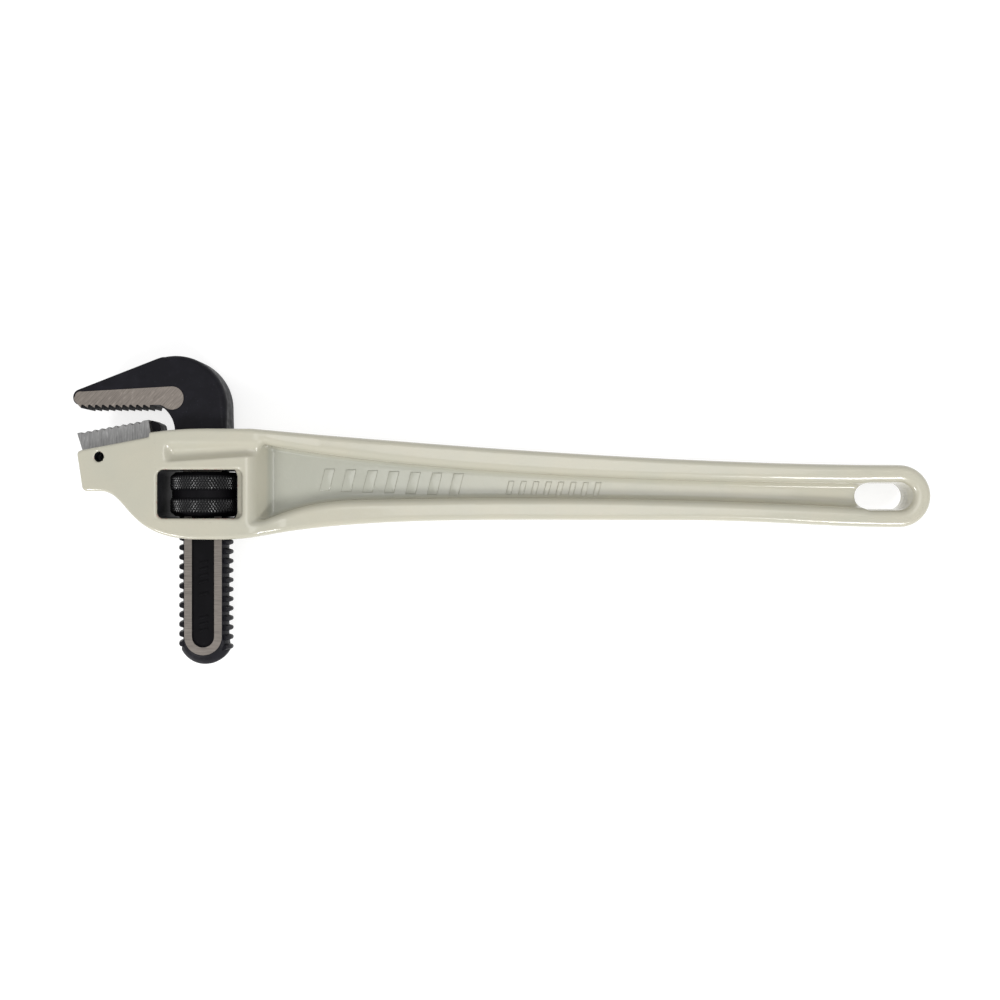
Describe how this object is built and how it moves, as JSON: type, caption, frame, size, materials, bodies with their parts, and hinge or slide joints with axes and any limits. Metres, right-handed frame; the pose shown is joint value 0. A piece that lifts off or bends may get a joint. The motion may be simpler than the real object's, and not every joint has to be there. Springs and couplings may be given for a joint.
{
  "type": "pipe wrench",
  "caption": "Offset pipe wrench: cast I-beam handle with hang eye, pinned heel jaw, and a toothed hook jaw on a threaded shank set by a knurled ring nut.",
  "frame": {"origin": "bottom centre of the whole tool's bounding box; the tool lies on the side of its head", "axes": "+X from the jaws toward the hang eye along the handle, +Y along the screw from the shank's end toward the hook, +Z across the jaws, up from the face it lies on"},
  "size_m": [0.4508, 0.1638, 0.038],
  "materials": {
    "enamel": "cast aluminium under gloss cream enamel",
    "ground_steel": "ground steel",
    "black_forging": "black oxide over forging scale, ground flats",
    "black_nut": "black oxide, diamond knurl",
    "spring_steel": "blued spring steel"
  },
  "bodies": {
    "handle": {"handle": "enamel", "heel_jaw": "ground_steel", "heel_jaw_pin": "spring_steel", "coil_spring": "spring_steel", "spring_pin": "spring_steel"},
    "rocker": {"flat_spring": "spring_steel"},
    "nut": {"adjusting_nut": "black_nut"},
    "hook": {"hook_jaw": "black_forging"}
  },
  "joints": [
    {"name": "hook_rock", "type": "hinge", "parent": "handle", "child": "rocker", "pos_m": [-0.15762, 0.00848, 0.019], "axis": [0, 0, 1], "range_deg": [-1.5, 1.5], "stiffness_Nm_per_rad": 25, "deforming": ["coil_spring"]},
    {"name": "nut_spin", "type": "hinge", "parent": "rocker", "child": "nut", "pos_m": [-0.15762, 0.00848, 0.019], "axis": [0, 1, 0], "range_deg": [-4393.7, 340.16]},
    {"name": "hook_slide", "type": "slide", "parent": "rocker", "child": "hook", "axis": [0, 1, 0], "range_m": [-0.0049, 0.0621]}
  ],
  "couplings": [
    {"joint": "hook_slide", "follows": "nut_spin", "m_per_rad": -0.00080851}
  ]
}
